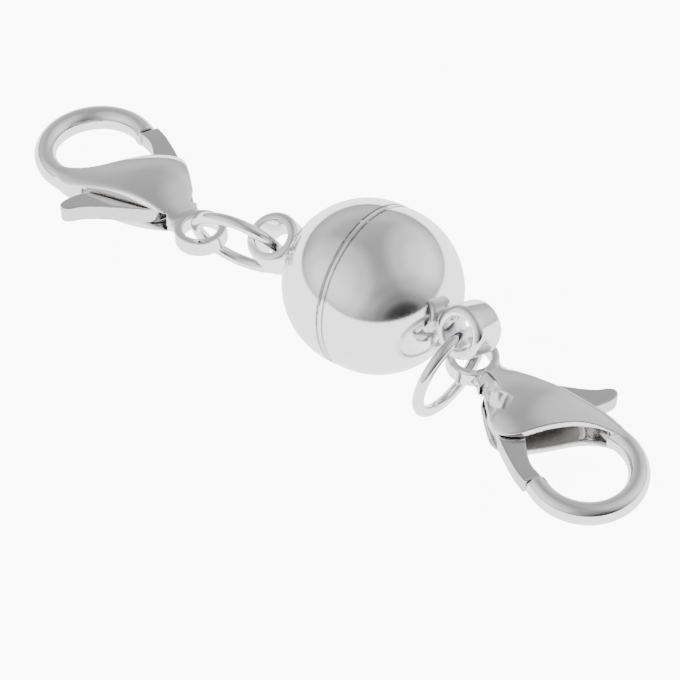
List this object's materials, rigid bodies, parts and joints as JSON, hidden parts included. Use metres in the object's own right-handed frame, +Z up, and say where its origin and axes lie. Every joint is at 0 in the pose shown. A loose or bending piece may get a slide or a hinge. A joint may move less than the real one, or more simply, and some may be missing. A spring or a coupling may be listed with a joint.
{
  "type": "magnetic jewellery clasp",
  "caption": "Plated magnetic ball clasp that parts at its middle, with a soldered loop, jump ring and sprung lobster claw at each end.",
  "frame": {"origin": "point on the surface straight under the middle of the ball", "axes": "+X along the clasp toward the raised end of the ball, on the plan of the ball's axis; +Z up; +Y level and to the left of +X"},
  "size_m": [0.0368, 0.0083, 0.0081],
  "materials": {
    "ball_plating": "mirror-bright silver-coloured plating",
    "ring_plating": "bright silver-coloured plating",
    "claw_plating": "bright plating over a cast surface, a little softened",
    "magnet_plating": "smooth nickel plating",
    "pin_steel": "drawn steel"
  },
  "bodies": {
    "left_side": {"left_half_ball": "ball_plating", "left_magnet": "magnet_plating", "left_jump_ring": "ring_plating", "left_claw": "claw_plating", "left_pin": "pin_steel"},
    "left_gate": {"left_lever": "claw_plating"},
    "right_side": {"right_half_ball": "ball_plating", "right_magnet": "magnet_plating", "right_jump_ring": "ring_plating", "right_claw": "claw_plating", "right_pin": "pin_steel"},
    "right_gate": {"right_lever": "claw_plating"}
  },
  "joints": [
    {"name": "magnet_pull", "type": "slide", "parent": "left_side", "child": "right_side", "axis": [0.9921, 0, 0.1253], "range_m": [0, 0.012]},
    {"name": "left_lever_hinge", "type": "hinge", "parent": "left_side", "child": "left_gate", "pos_m": [-0.0127, 0.0014, 0.00139], "axis": [-0.1053, 0.0249, 0.9941], "range_deg": [0, 18], "stiffness_Nm_per_rad": 0.004, "springref_deg": -11.46},
    {"name": "right_lever_hinge", "type": "hinge", "parent": "right_side", "child": "right_gate", "pos_m": [0.00804, -0.00101, 0.00139], "axis": [0.1058, -0.0225, 0.9941], "range_deg": [0, 18], "stiffness_Nm_per_rad": 0.004, "springref_deg": -11.46}
  ]
}
